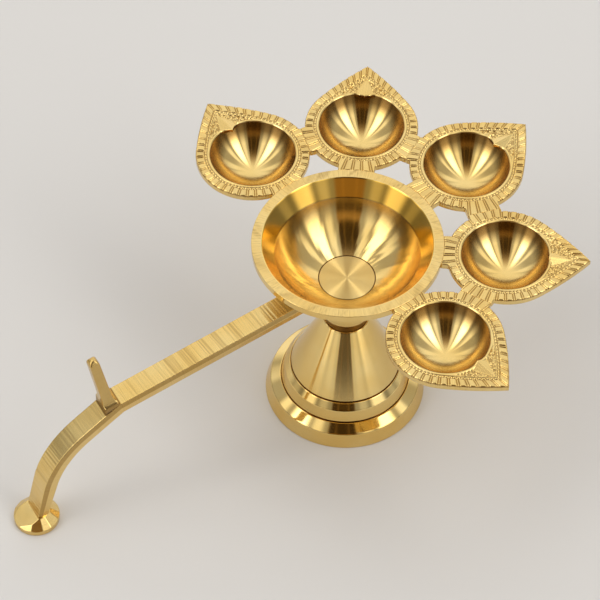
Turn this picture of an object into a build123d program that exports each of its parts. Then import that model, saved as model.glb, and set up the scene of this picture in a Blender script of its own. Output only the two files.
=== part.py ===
from build123d import *
from math import acos, asin, cos, degrees, radians, sin, sqrt, tan
import os

# A brass five-wick aarti lamp, in millimetres. The origin is the middle of the pedestal's foot, on the table.
# +Z is up and the handle runs along -Y.

# Centre bowl
rim_radius = 35.0
rim_height = 84.7
rim_edge = 3.0
rim_width = 3.8
band_width = 4.7
band_depth = 5.9
floor_radius = 10.4
bowl_depth = 20.4
dish_sagitta = 2.2
bowl_wall = 2.4
edge_break = 0.4
cove_bulge = 0.17

# Stem under the bowl and the spacer ring in the neck
stem_radius = 9.3
stem_straight = 3.0
ring_radius = 6.6
ring_height = 3.8

# Centre screw
screw_head = 2.6
screw_radius = 5.0
screw_reach = 13.6
screw_point = 1.0

# Pedestal, from the table up
foot_radius = 30.4
foot_shoulder_radius = 28.5
foot_shoulder = 5.9
first_step_radius = 24.7
first_step = 7.3
tier_top_radius = 22.9
tier_top = 13.0
second_step_radius = 21.0
second_step = 15.6
groove_width = 0.5
groove_depth = 0.5
neck_radius = 8.7
neck_height = 42.6
pedestal_wall = 2.8
boss_depth = 16.6

# Leaf-shaped lamp cups
petal_count = 5
petal_pitch = 45.5
fan_turn = 10.4
cup_reach = 56.5
cup_radius = 16.05
cup_depth = 10.3
cup_wall = 1.5
leaf_radius = 21.2
leaf_tip = 30.7
leaf_side_radius = 120.0
plate_thickness = 2.5
border_width = 4.4
lip_width = 0.8
field_depth = 0.6
spear_half_width = 4.0
spear_height = 1.1
beak = 1.9
tab_width = 13.6
web_length = 12.4
back_flutes = 29
side_flutes = 7
flute_length = 3.6
flute_gap = 0.8
flute_depth = 0.5
flute_overrun = 3.2

# How far each hand-brazed leaf is off an even fan: out from the bowl, round it in degrees, and its own twist
leaf_outward = (-1.2, 1.0, 1.6, 0.6, -0.9)
leaf_aside = (-0.9, -0.1, 1.4, 0.5, -0.2)
leaf_twist = (-4.6, 0.6, 1.6, 1.5, 6.8)

# Handle
bar_width = 8.6
bar_waist = 0.4
bar_ridge = 2.1
bar_thickness = 5.2
tail_thickness = 4.1
bar_below_rim = 21.9
bar_slope = 10.2
bar_fall = 31.5
tail_slope = 74.0
bar_reach = 131.6
bar_bend_radius = 38.0

# Thumb peg, over the break in the bar
peg_place = 98.7
break_before_peg = 2.7
peg_length = 7.4
peg_toe = 1.2
peg_heel = 1.4
peg_step_height = 1.3
peg_foot_width = 5.6
peg_foot_length = 4.6
peg_base_height = 5.5
peg_neck_width = 4.7
peg_neck_length = 4.2
peg_corner = 0.5
peg_height = 27.1
peg_tip_radius = 2.0
peg_lean = 0.5
tenon_radius = 1.6
tenon_length = 4.4

# Tail foot
pad_radius = 8.5
pad_edge = 2.4
pad_height = 5.4
pad_ahead = 0.8
pad_top_radius = 5.4
front_facet_slope = 25.0
side_facets = 7
side_facet_pitch = 27.0
facet_cut = 0.3

# Fits
braze_gap = 0.05
screw_clearance = 0.04
seat_clearance = 0.05

# Heights and places worked out from the sizes above
lip_radius = rim_radius - rim_width
band_radius = lip_radius - band_width
floor_height = rim_height - bowl_depth
screw_seat = floor_height - screw_head
screw_end = neck_height - screw_reach
stem_bottom = neck_height + ring_height
boss_bottom = neck_height - boss_depth
bore_radius = screw_radius + screw_clearance
cup_sphere = (cup_radius**2 + cup_depth**2) / (2 * cup_depth)
bar_dip = radians(bar_slope)
fall_dip = radians(bar_fall)
tail_dip = radians(tail_slope)
tail_half = tail_thickness / 2 / sin(tail_dip)


def turned(profile):
    """A solid turned about Z from a closed outline of curves through (radius, height) points."""
    return revolve(Plane.XZ * make_face(profile), Axis.Z)


def bowl_body(grow=0.0):
    """Outside of the bowl and its stem as one filled turning, grown outwards by a gap."""
    under_edge = rim_height - rim_edge - grow
    under_rim = (lip_radius + grow, under_edge)
    shoulder = (band_radius + bowl_wall + grow, rim_height - band_depth - bowl_wall / 2)
    belly = (floor_radius + bowl_wall + grow, screw_seat - grow)
    stem_top = (stem_radius + grow, stem_bottom + stem_straight)
    wall = Line(under_rim, shoulder)
    dish = SagittaArc(shoulder, belly, dish_sagitta)
    cove_chord = sqrt((belly[0] - stem_top[0])**2 + (belly[1] - stem_top[1])**2)
    cove = SagittaArc(belly, stem_top, -cove_bulge * cove_chord)
    down = Polyline(stem_top, (stem_radius + grow, stem_bottom), (0, stem_bottom), (0, rim_height))
    rim = Polyline(
        (0, rim_height), (rim_radius + grow - edge_break, rim_height),
        (rim_radius + grow, rim_height - edge_break), (rim_radius + grow, under_edge), under_rim)
    return turned([wall, dish, cove, down, rim])


def bowl_hollow():
    """The space inside the bowl: a polished band, a dished wall and the seat for the screw's head."""
    lip = (lip_radius, rim_height)
    band = (band_radius, rim_height - band_depth)
    seat_radius = floor_radius + seat_clearance
    dish = SagittaArc(band, (seat_radius, floor_height), dish_sagitta)
    inside = Polyline(
        (seat_radius, floor_height), (seat_radius, screw_seat), (0, screw_seat), (0, rim_height), lip, band)
    return turned([dish, inside])


def make_bowl():
    bore = Pos(0, 0, stem_bottom) * Cylinder(
        bore_radius, screw_seat - stem_bottom, align=(Align.CENTER, Align.CENTER, Align.MIN))
    return bowl_body() - bowl_hollow() - bore


def make_screw():
    """The screw's wide head lies flush in the bowl's floor, and its stud hangs down into the pedestal."""
    return turned([Polyline(
        (0, floor_height), (floor_radius, floor_height), (floor_radius, screw_seat),
        (screw_radius, screw_seat), (screw_radius, screw_end + screw_point),
        (screw_radius - screw_point, screw_end), (0, screw_end), (0, floor_height))])


def make_neck_ring():
    return turned([Polyline(
        (bore_radius, neck_height), (ring_radius, neck_height), (ring_radius, stem_bottom),
        (bore_radius, stem_bottom), (bore_radius, neck_height))])


def make_pedestal():
    """A tiered foot and a straight cone, hollow from below, with a bored boss at the top."""
    tier_foot = first_step_radius - groove_depth
    cone_foot = second_step_radius - groove_depth
    cone_start = second_step + groove_width
    cone_slope = (cone_foot - neck_radius) / (neck_height - cone_start)
    ceiling_radius = cone_foot - cone_slope * (boss_bottom - cone_start) - pedestal_wall
    outside = [
        (bore_radius, neck_height), (neck_radius, neck_height), (cone_foot, cone_start),
        (cone_foot, second_step), (second_step_radius, second_step), (tier_top_radius, tier_top),
        (tier_foot, first_step + groove_width), (tier_foot, first_step), (first_step_radius, first_step),
        (foot_shoulder_radius, foot_shoulder), (foot_radius, 0)]
    inside = [
        (foot_shoulder_radius - pedestal_wall, 0), (tier_foot - pedestal_wall, foot_shoulder),
        (cone_foot - pedestal_wall, second_step), (ceiling_radius, boss_bottom), (bore_radius, boss_bottom),
        (bore_radius, neck_height)]
    return turned([Polyline(*outside, *inside)])


# The leaf outline: a circle round the cup, drawn out to a point on +X by two flat arcs tangent to the circle.
arc_offset = leaf_side_radius - leaf_radius
tangent_angle = acos(
    (leaf_side_radius**2 - arc_offset**2 - leaf_tip**2) / (2 * leaf_tip * arc_offset))


def leaf_tip_at(inset):
    """Distance from the cup's centre to the point of the leaf, drawn in by an inset."""
    side = leaf_side_radius - inset
    return sqrt(side**2 - (arc_offset * sin(tangent_angle))**2) - arc_offset * cos(tangent_angle)


def leaf(inset=0.0):
    """The leaf outline as a face, drawn in by an inset all round."""
    radius = leaf_radius - inset
    tip = (leaf_tip_at(inset), 0)
    left = (radius * cos(tangent_angle), radius * sin(tangent_angle))
    right = (left[0], -left[1])
    back = ThreePointArc(left, (-radius, 0), right)
    side_right = RadiusArc(right, tip, leaf_side_radius - inset)
    side_left = RadiusArc(tip, left, leaf_side_radius - inset)
    return make_face([back, side_right, side_left])


def flute_places():
    """Where one flute of the border meets the next: outline points with the outward direction, in degrees."""
    places = []
    back = radians(360) - 2 * tangent_angle
    for i in range(back_flutes + 1):
        turn = tangent_angle + back * i / back_flutes
        places.append((leaf_radius * cos(turn), leaf_radius * sin(turn), degrees(turn)))
    tip_angle = asin(arc_offset * sin(tangent_angle) / leaf_side_radius)
    for i in range(1, side_flutes):
        turn = tangent_angle + (tip_angle - tangent_angle) * i / side_flutes
        x = leaf_side_radius * cos(turn) - arc_offset * cos(tangent_angle)
        y = leaf_side_radius * sin(turn) - arc_offset * sin(tangent_angle)
        places += [(x, y, degrees(turn)), (x, -y, -degrees(turn))]
    return places


def flute_grooves():
    """V-shaped cuts across the border, one between each pair of flutes, about the cup's centre."""
    end = Plane(origin=(-flute_length, 0, 0), x_dir=(0, 1, 0), z_dir=(1, 0, 0))
    section = end * make_face(Polyline(
        (-flute_gap, flute_depth), (flute_gap, flute_depth), (0, -flute_depth), (-flute_gap, flute_depth)))
    groove = extrude(section, flute_length + flute_overrun)
    return [Pos(x, y, 0) * Rot(0, 0, turn) * groove for x, y, turn in flute_places()]


def make_spear():
    """A low pyramid from the point of the field to a beak in the cup's edge, as thick below as the plate."""
    corner_reach = sqrt(cup_radius**2 - spear_half_width**2)
    foot = -field_depth
    point = Vector(leaf_tip_at(border_width), 0, foot)
    ridge = Vector(cup_radius - beak, 0, foot + spear_height)
    left = (corner_reach, spear_half_width)
    right = (corner_reach, -spear_half_width)
    plan = make_face(Polyline((point.X, 0), left, (ridge.X, 0), right, (point.X, 0)))
    spear = Pos(0, 0, -plate_thickness) * extrude(plan, plate_thickness + ridge.Z)
    for x, y in (left, right):
        edge = Vector(x, y, foot) - point
        normal = edge.cross(ridge - point)
        slope = Plane(origin=point, x_dir=edge, z_dir=normal if normal.Z > 0 else -normal)
        above = Box(4 * leaf_tip, 4 * leaf_tip, leaf_tip, align=(Align.CENTER, Align.CENTER, Align.MIN))
        spear -= slope * above
    return spear


def make_lamp(sides, outward, aside, twist):
    """One lamp whose even place is on +X, with the plate's top at zero: a leaf plate, its cup, a tab to
    the rim, and a web to the seam on each side that has a neighbour."""
    reach = cup_reach + outward
    cup = Rot(0, 0, aside) * Pos(reach, 0, 0) * Rot(0, 0, twist)
    ball = cup * Pos(0, 0, cup_sphere - cup_depth)
    span = reach + leaf_tip
    hung = (Align.CENTER, Align.CENTER, Align.MAX)
    below = Pos(0, 0, -plate_thickness) * Box(2 * span, 2 * span, span, align=hung)
    tab_reach = reach - cup_radius
    tab = Rot(0, 0, aside) * Pos(tab_reach / 2, 0, 0) * Box(tab_reach, tab_width, plate_thickness, align=hung)
    lamp = cup * extrude(leaf(), -plate_thickness) + (ball * Sphere(cup_sphere + cup_wall) & below) + tab
    half_pitch = radians(petal_pitch / 2)
    cuts = [Cylinder(rim_radius + braze_gap, 2 * span), ball * Sphere(cup_sphere)]
    for side in sides:
        seam = Rot(0, 0, side * petal_pitch / 2)
        web_reach = cup_reach * sin(half_pitch)
        web = Box(web_length, web_reach, plate_thickness, align=hung)
        lamp = lamp + seam * Pos(cup_reach * cos(half_pitch), -side * web_reach / 2, 0) * web
        cuts.append(seam * Pos(0, side * (span - braze_gap) / 2, 0) * Box(2 * span, span, 2 * span))
    field = cup * extrude(leaf(border_width) - Circle(cup_radius + lip_width), -field_depth)
    return lamp - cuts - [cup * groove for groove in flute_grooves()] - field + cup * make_spear()


def make_petals():
    """The fan of leaf-shaped lamps round the far half of the rim."""
    petals = {}
    for k in range(petal_count):
        sides = [side for side in (-1, 1) if 0 <= k - side < petal_count]
        lamp = make_lamp(sides, leaf_outward[k], leaf_aside[k], leaf_twist[k])
        turn = 90 + fan_turn + petal_pitch * ((petal_count - 1) / 2 - k)
        petals[f"petal_lamp_{k + 1}"] = Pos(0, 0, rim_height) * Rot(0, 0, turn) * lamp
    return petals


# The bar's middle line in the YZ plane: a straight run out from the bowl, a break under the peg,
# a steeper run, a bend and a straight tail down to the foot.
bar_half = bar_thickness / 2
break_reach = peg_place - break_before_peg
break_dip = (bar_dip + fall_dip) / 2
break_inset = bar_half / cos((fall_dip - bar_dip) / 2)


def bar_top(reach):
    """Height of the bar's top face at a distance from the lamp's axis, on the first run."""
    return rim_height - bar_below_rim - (reach - rim_radius) * tan(bar_dip)


def along(dip):
    """Direction of a run that leads away from the lamp and falls at an angle."""
    return Vector(0, -cos(dip), -sin(dip))


def bar_section(thickness):
    """A six-sided section, widest at the ridge along each side, with the top face on +Y."""
    half = bar_width / 2
    top = thickness / 2
    ridge = top - bar_ridge * thickness / bar_thickness
    return make_face(Polyline(
        (-half, top), (half, top), (half + bar_waist, ridge), (half, -top), (-half, -top),
        (-half - bar_waist, ridge), (-half, top)))


def bar_body():
    """The section run straight to the break, swept round the bend and thinned down the tail to the foot."""
    break_top = Vector(0, -break_reach, bar_top(break_reach))
    bend = break_top - Vector(0, -sin(break_dip), cos(break_dip)) * break_inset
    foot = Vector(0, tail_half - bar_reach, pad_height)
    fall, tail = along(fall_dip), along(tail_dip)
    corner = bend + fall * ((foot - bend).cross(tail).X / fall.cross(tail).X)
    line_radius = bar_bend_radius - bar_half
    steep_start = bend - fall * bar_thickness
    tail_start = corner + tail * line_radius * tan((tail_dip - fall_dip) / 2)
    tail_end = foot + tail * tail_thickness
    path = FilletPolyline(steep_start, corner, tail_end, radius=line_radius)
    steep_run, arc = path.edges().sort_by(Axis.Z, reverse=True)[:2]

    def across(place, way):
        return Plane(origin=place, x_dir=(1, 0, 0), z_dir=way)

    first = across(bend - along(bar_dip) * break_reach, along(bar_dip)) * bar_section(bar_thickness)
    steep = across(steep_start, fall) * bar_section(bar_thickness)
    tail_ends = [
        across(tail_start, tail) * bar_section(bar_thickness),
        across(tail_end, tail) * bar_section(tail_thickness)]
    mitre = across(bend, along(break_dip))
    block = 4 * bar_thickness + bar_width
    beyond = mitre * Box(block, block, block, align=(Align.CENTER, Align.CENTER, Align.MIN))
    before = mitre * Box(block, block, block, align=(Align.CENTER, Align.CENTER, Align.MAX))
    below = Pos(foot) * Box(block, block, block, align=(Align.CENTER, Align.CENTER, Align.MAX))
    run = extrude(first, break_reach + bar_thickness, dir=along(bar_dip)) - beyond
    return run + (sweep(steep, Wire([steep_run, arc])) - before) + (loft(tail_ends, ruled=True) - below)


def make_bar(body):
    """The bar saddled on the bowl and drilled for the peg."""
    return body - bowl_body(braze_gap) - peg_place_plane() * tenon(seat_clearance)


def peg_place_plane():
    """The first run's top face under the peg: X along the bar towards its tail, Z out of the top face."""
    return Plane(
        origin=(0, -peg_place, bar_top(peg_place)), x_dir=(0, -cos(bar_dip), -sin(bar_dip)),
        z_dir=(0, -sin(bar_dip), cos(bar_dip)))


def tenon(clearance=0.0):
    return Cylinder(tenon_radius + clearance, tenon_length + clearance,
                    align=(Align.CENTER, Align.CENTER, Align.MAX))


def peg_section(height, length, width, corner):
    """A rounded rectangle across the leaning peg."""
    return Pos(-height * tan(radians(peg_lean)), 0, height) * RectangleRounded(length, width, corner)


def make_peg(body):
    """A block as wide as the bar, bedded over its break, a square stem flared at its foot, a round tip."""
    half = peg_length / 2
    outline = Plane.XZ * make_face(Polyline(
        (-half, -tenon_length), (-half, 0), (peg_toe - half, peg_step_height),
        (half - peg_heel, peg_step_height), (half, -tenon_length), (-half, -tenon_length)))
    block = peg_place_plane() * extrude(outline, bar_width / 2, both=True) - body
    stem_top = peg_height - peg_tip_radius
    tip_width = 2 * peg_tip_radius
    stem = loft([
        peg_section(peg_step_height, peg_foot_length, peg_foot_width, peg_corner),
        peg_section(peg_base_height, peg_neck_length, peg_neck_width, peg_corner),
        peg_section(stem_top, tip_width, tip_width, peg_tip_radius - peg_corner)], ruled=True)
    dome = Pos(-stem_top * tan(radians(peg_lean)), 0, stem_top) * Sphere(peg_tip_radius)
    return block + peg_place_plane() * (stem + dome + tenon())


def make_tail_foot():
    """A round pad with a shallow cone on top, filed to one broad facet in front and small ones round it."""
    pad = turned([Polyline(
        (0, 0), (pad_radius - edge_break, 0), (pad_radius, edge_break), (pad_radius, pad_edge),
        (pad_top_radius, pad_height), (0, pad_height), (0, 0))])
    cutter = Box(2 * pad_radius, 2 * pad_radius, pad_radius, align=(Align.CENTER, Align.CENTER, Align.MIN))
    front = Pos(0, pad_ahead - tail_half, pad_height) * Rot(front_facet_slope, 0, 0) * cutter
    cone_slope = degrees(asin((pad_height - pad_edge) / sqrt(
        (pad_height - pad_edge)**2 + (pad_radius - pad_top_radius)**2)))
    cuts = [front]
    facet = Pos(pad_top_radius - facet_cut, 0, pad_height) * Rot(0, cone_slope, 0) * cutter
    for i in range(side_facets):
        turn = side_facet_pitch * (i - (side_facets - 1) / 2)
        cuts += [Rot(0, 0, turn) * facet, Rot(0, 0, 180 - turn) * facet]
    return Pos(0, tail_half - bar_reach - pad_ahead, 0) * (pad - cuts)


def make_parts():
    body = bar_body()
    parts = {
        "pedestal": make_pedestal(),
        "neck_ring": make_neck_ring(),
        "centre_bowl": make_bowl(),
        "centre_screw": make_screw(),
        "handle_bar": make_bar(body),
        "thumb_peg": make_peg(body),
        "tail_foot": make_tail_foot(),
    }
    parts.update(make_petals())
    return parts


os.makedirs("parts", exist_ok=True)
for name, solid in make_parts().items():
    export_step(solid, f"parts/{name}.step")
    box = solid.bounding_box()
    print(f"{name}: {solid.volume:.0f} mm3, {box.size.X:.1f} x {box.size.Y:.1f} x {box.size.Z:.1f} mm")
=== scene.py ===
# %% [markdown]
# A brass aarti lamp: five leaf-shaped lamp cups round a turned bowl, on a screw-off pedestal, with a bar
# handle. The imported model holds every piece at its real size. Here each piece is drawn again as a finer
# surface that carries its tool marks, and is given a brass finish. Lengths in the script are millimetres
# until a mesh is filled.

import bpy
import numpy as np
from mathutils import Matrix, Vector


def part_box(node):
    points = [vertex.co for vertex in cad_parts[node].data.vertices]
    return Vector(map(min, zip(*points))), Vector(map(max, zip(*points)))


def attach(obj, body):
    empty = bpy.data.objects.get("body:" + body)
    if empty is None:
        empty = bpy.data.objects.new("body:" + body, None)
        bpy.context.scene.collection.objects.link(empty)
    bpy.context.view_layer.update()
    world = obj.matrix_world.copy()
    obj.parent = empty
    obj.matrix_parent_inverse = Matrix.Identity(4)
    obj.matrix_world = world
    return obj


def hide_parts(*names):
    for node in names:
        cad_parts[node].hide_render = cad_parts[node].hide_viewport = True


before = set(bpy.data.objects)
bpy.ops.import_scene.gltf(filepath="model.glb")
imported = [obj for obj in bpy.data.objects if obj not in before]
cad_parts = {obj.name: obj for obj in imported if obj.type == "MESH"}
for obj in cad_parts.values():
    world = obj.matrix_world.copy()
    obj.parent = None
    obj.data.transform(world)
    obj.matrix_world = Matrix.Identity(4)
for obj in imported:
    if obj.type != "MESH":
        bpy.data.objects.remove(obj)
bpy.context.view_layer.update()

mm = 0.001
print("frame nodes:", len(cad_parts))

# %% [markdown]
# The frame already knows where everything is, so the main sizes are read from its boxes. What a box can't
# tell, such as the width of the bowl's rim, is a named value. Reading sizes this way keeps the finer
# surfaces in step with the solids that carry the weight and the joints.


# %% Sizes
def box_mm(node):
    """Lowest and highest corner of a node of the frame, in millimetres."""
    low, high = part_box(node)
    return np.array(low) / mm, np.array(high) / mm


bowl_low, bowl_high = box_mm("centre_bowl")
screw_low, screw_high = box_mm("centre_screw")
ring_low, ring_high = box_mm("neck_ring")
base_low, base_high = box_mm("pedestal")
pad_low, pad_high = box_mm("tail_foot")
rim_radius, rim_height, stem_bottom = bowl_high[0], bowl_high[2], bowl_low[2]
floor_radius, floor_height, screw_end = screw_high[0], screw_high[2], screw_low[2]
foot_radius, neck_height, ring_radius = base_high[0], base_high[2], ring_high[0]
screw_radius, bore_radius, screw_head = 5.0, 5.04, 2.6
screw_seat = floor_height - screw_head
print(f"rim {2 * rim_radius:.1f} mm across at a height of {rim_height:.1f} mm")

# %% [markdown]
# Almost every piece of this lamp is a stack of closed rings: a turned piece is its outline carried round
# an axis, a bar is its section carried along a path, and even a leaf cup is a set of nested outlines. So
# one function fills them all. It joins each ring to the next with quads, draws the ends to a point, and
# writes a UV map whose U runs round the ring and whose V is the distance along the piece, in metres. Tool
# marks follow that map.


# %% Rings into a mesh
def ring_quads(rows, columns, closed):
    """Corner numbers of the quads between neighbouring rings. Each ring closes on itself."""
    row = np.arange(rows if closed else rows - 1)[:, None]
    column = np.arange(columns)[None, :]
    right = (column + 1) % columns
    above = (row + 1) % rows
    corners = [row * columns + column, row * columns + right,
               above * columns + right, above * columns + column]
    return np.stack(corners, -1).reshape(-1, 4)


def end_fans(rows, columns):
    """Triangles from the first ring and the last ring to the two end points that follow the rings."""
    column = np.arange(columns)
    right = (column + 1) % columns
    last = (rows - 1) * columns
    first_fan = np.stack([np.full(columns, rows * columns), right, column], -1)
    last_fan = np.stack([np.full(columns, rows * columns + 1), last + column, last + right], -1)
    return first_fan, last_fan


def ring_map(rows, columns, along, closed):
    """UV corners in the order of ring_quads: the share of the way round, and the distance along."""
    row = np.arange(rows if closed else rows - 1)[:, None]
    left = np.broadcast_to(np.arange(columns) / columns, (len(row), columns))
    right = left + 1 / columns
    low = np.broadcast_to(along[row], left.shape)
    high = np.broadcast_to(along[row + 1], left.shape)
    corners = [np.stack(pair, -1) for pair in ((left, low), (right, low), (right, high), (left, high))]
    return np.stack(corners, 2).reshape(-1, 4, 2)


def volume_sign(points, faces):
    """Sign of the volume inside the faces: the sum of p0 . (p1 x p2) over the corners of each triangle."""
    a, b, c = (points[faces[:, i]] for i in range(3))
    return np.sign(np.einsum("ij,ij->", a, np.cross(b, c)))


# %% The mesh itself
def fill_mesh(name, rings, closed=False, strip_finish=0, painted_shade_and_tone=None):
    """A closed mesh from rings of points, with its faces outwards and a finish number for each strip."""
    rows, columns = rings.shape[:2]
    loop = np.concatenate([rings, rings[:1]]) if closed else rings
    along = np.concatenate([[0], np.cumsum(np.linalg.norm(np.diff(loop, axis=0), axis=2).mean(1))]) * mm
    quads = ring_quads(rows, columns, closed)
    quad_map = ring_map(rows, columns, along, closed)
    points = rings.reshape(-1, 3)
    finish = np.repeat(np.broadcast_to(strip_finish, len(quads) // columns), columns)
    fans, fan_map = np.zeros((0, 3), int), np.zeros((0, 3, 2))
    if not closed:
        points = np.concatenate([points, [rings[0].mean(0), rings[-1].mean(0)]])
        fans = np.concatenate(end_fans(rows, columns))
        middle = (np.arange(columns) + 0.5) / columns
        first_map = np.stack([middle, np.zeros(columns)], -1)
        last_map = np.stack([middle, np.full(columns, along[-1])], -1)
        fan_map = np.repeat(np.concatenate([first_map, last_map])[:, None], 3, 1)
        finish = np.concatenate([np.repeat([finish[0], finish[-1]], columns), finish])
    triangles = np.concatenate([quads[:, :3], quads[:, [0, 2, 3]], fans])
    if volume_sign(points - points.mean(0), triangles) < 0:
        quads, quad_map = quads[:, ::-1], quad_map[:, ::-1]
        fans, fan_map = fans[:, ::-1], fan_map[:, ::-1]
    mesh = bpy.data.meshes.new(name)
    mesh.from_pydata((points * mm).tolist(), [], fans.tolist() + quads.tolist())
    corners = np.concatenate([fan_map.reshape(-1, 2), quad_map.reshape(-1, 2)])
    mesh.uv_layers.new(name="turning").data.foreach_set("uv", corners.astype(np.float32).ravel())
    mesh.polygons.foreach_set("material_index", finish.astype(np.int32))
    mesh.shade_smooth()
    # Painted shade for each point, with a random tone on the leaf pads; the finishes turn it to brown.
    values = np.zeros(len(points))
    if painted_shade_and_tone is not None:
        values[:rows * columns] = np.broadcast_to(painted_shade_and_tone, (rows, columns)).ravel()
    layer = mesh.attributes.new("painted_shade_and_tone", "FLOAT", "POINT")
    layer.data.foreach_set("value", values.astype(np.float32))
    return mesh


# %% A mesh into a piece of the lamp
def add_piece(name, node, body, finishes, mesh):
    """The finished piece: it stands for its node, rides on its body and takes its finishes in order."""
    piece = bpy.data.objects.new(name, mesh)
    bpy.context.scene.collection.objects.link(piece)
    for finish in finishes:
        mesh.materials.append(finish)
    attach(piece, body)
    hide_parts(node)
    print(f"{name}: {len(mesh.polygons)} faces")


# %% [markdown]
# A lathe leaves crisp but never razor-sharp corners, and it is the thin bright line along each softened
# corner that makes turned brass look real. Bevel modifiers could round the finished mesh, but on an
# outline the same thing is a few points of arithmetic. Each corner carries its own small radius.


# %% Outlines with softened corners
def arc(start, end, sagitta, steps=15):
    """Points between start and end on the circle that rises by sagitta to the left of the way there."""
    start, end = np.array(start, float), np.array(end, float)
    half = np.linalg.norm(end - start) / 2
    along = (end - start) / (2 * half)
    left = np.array([-along[1], along[0]])
    radius = (half**2 + sagitta**2) / (2 * sagitta)
    reach = np.arcsin(half / radius)
    turn = np.linspace(-reach, reach, steps + 1)[1:-1, None]
    middle = (start + end) / 2
    return middle + radius * np.sin(turn) * along + (radius * np.cos(turn) - (radius - sagitta)) * left


def corner(place, radius):
    """One corner of an outline as a row of x, y and its radius."""
    return np.array([[*place, radius]])


def smooth(points):
    """Points of an outline that need no softening, as rows of x, y and a radius of zero."""
    return np.column_stack([points, np.zeros(len(points))])


def softened(rows, steps=4):
    """A closed outline whose corners are the curves (1-t)^2 A + 2t(1-t) C + t^2 B.

    A and B lie one radius from the corner C. A point a little outside A and another outside B keep the flat
    stretches flat in the shading.
    """
    rows = np.concatenate(rows)
    place, radius = rows[:, :2], rows[:, 2:]
    back, ahead = np.roll(place, 1, 0) - place, np.roll(place, -1, 0) - place
    back_length = np.linalg.norm(back, axis=1, keepdims=True)
    ahead_length = np.linalg.norm(ahead, axis=1, keepdims=True)
    guard, most = 1.6, 0.45
    before = place + back / back_length * np.minimum(radius, most / guard * back_length)
    after = place + ahead / ahead_length * np.minimum(radius, most / guard * ahead_length)
    far_before, far_after = place + (before - place) * guard, place + (after - place) * guard
    t = np.linspace(0, 1, steps + 1)[:, None]
    bends = (1 - t)**2 * before[:, None] + 2 * t * (1 - t) * place[:, None] + t**2 * after[:, None]
    curves = [np.concatenate([[first], bend, [last]]) if r > 0 else sharp[None]
              for first, bend, last, sharp, r in zip(far_before, bends, far_after, place, radius[:, 0])]
    return np.concatenate(curves)


# %% Turned pieces and their marks
def turned(outline, columns):
    """Rings of a turned piece: each point (radius, height) of the outline carried round the Z axis."""
    angle = np.arange(columns) * 2 * np.pi / columns
    radius, height = outline[:, :1], outline[:, 1:]
    return np.stack([radius * np.cos(angle), radius * np.sin(angle), height + 0 * angle], -1)


def strip_middles(outline):
    """Radius and height halfway along each strip of a closed outline."""
    return ((outline + np.roll(outline, -1, 0)) / 2).T


def hand_marks(place, count, seed):
    """Uneven marks of a hand tool: random heights at even places round a turn, joined by lines."""
    height = np.random.default_rng(seed).normal(0, 1, count)
    return np.interp(place % 1 * count, np.arange(count + 1), np.append(height, height[0]))


# %% [markdown]
# Brass is one metal with many finishes. A node tree is easier to read when each effect has a name, so the
# tone of the metal and the marks of a tool are two small groups, and every finish below places them with
# its own values.


# %% Node helpers
def put(tree, kind, inputs=None, **settings):
    """A node of this kind with its settings made and its inputs set to values or linked to sockets."""
    node = tree.nodes.new(kind)
    for key, value in settings.items():
        setattr(node, key, value)
    for key, value in (inputs or {}).items():
        if isinstance(value, bpy.types.NodeSocket):
            tree.links.new(value, node.inputs[key])
        else:
            node.inputs[key].default_value = value
    return node


def calculate(tree, operation, *values):
    """One step of arithmetic on sockets or numbers."""
    return put(tree, "ShaderNodeMath", dict(enumerate(values)), operation=operation).outputs[0]


def new_group(name, inputs, outputs):
    """An empty shader group with named sockets, and its inner input and output nodes."""
    tree = bpy.data.node_groups.new(name, "ShaderNodeTree")
    for label, kind in inputs.items():
        tree.interface.new_socket(label, in_out="INPUT", socket_type=kind)
    for label, kind in outputs.items():
        tree.interface.new_socket(label, in_out="OUTPUT", socket_type=kind)
    return tree, tree.nodes.new("NodeGroupInput"), tree.nodes.new("NodeGroupOutput")


number, colour = "NodeSocketFloat", "NodeSocketColor"


# %% The tone of the brass
def make_brass_tone():
    """Colour of the metal: two golds drifting over the piece, and brown for painted shade and pad tone."""
    tree, given, result = new_group(
        "brass tone", {"Gold": colour, "Deep gold": colour, "Painted shade and tone": number},
        {"Color": colour, "Dullness": number})
    place = put(tree, "ShaderNodeTexCoord").outputs["Object"]
    drift = put(tree, "ShaderNodeTexNoise", {"Vector": place, "Scale": 60.0, "Detail": 3.0}).outputs["Fac"]
    share = put(tree, "ShaderNodeMapRange", {"Value": drift, "From Min": 0.35, "From Max": 0.65}).outputs[0]
    tone = put(tree, "ShaderNodeMix", {
        "Factor": share, "A": given.outputs["Gold"], "B": given.outputs["Deep gold"]}, data_type="RGBA")
    # The brown of painted shade.
    shade_brown = (0.20, 0.09, 0.014, 1.0)
    shaded = put(tree, "ShaderNodeMix", {
        "Factor": given.outputs["Painted shade and tone"], "A": tone.outputs["Result"], "B": shade_brown}, data_type="RGBA")
    tree.links.new(shaded.outputs["Result"], result.inputs["Color"])
    tree.links.new(calculate(tree, "MULTIPLY", given.outputs["Painted shade and tone"], 0.06), result.inputs["Dullness"])
    return tree


brass_tone = make_brass_tone()


# %% The marks of a tool
def make_tool_lines():
    """Fine parallel lines across the Place value: noise at the pitch and at a quarter of it."""
    tree, given, result = new_group("tool lines", {"Place": number, "Pitch": number}, {"Lines": number})
    steps = calculate(tree, "DIVIDE", given.outputs["Place"], given.outputs["Pitch"])
    coarse = put(tree, "ShaderNodeTexNoise", {
        "W": steps, "Scale": 1.0, "Detail": 2.0}, noise_dimensions="1D")
    fine = put(tree, "ShaderNodeTexNoise", {
        "W": steps, "Scale": 4.0, "Detail": 1.0}, noise_dimensions="1D")
    both = calculate(tree, "ADD", coarse.outputs["Fac"], fine.outputs["Fac"])
    tree.links.new(calculate(tree, "MULTIPLY", both, 0.5), result.inputs["Lines"])
    return tree


tool_lines = make_tool_lines()
print("shared effects:", brass_tone.name, "and", tool_lines.name)

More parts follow.
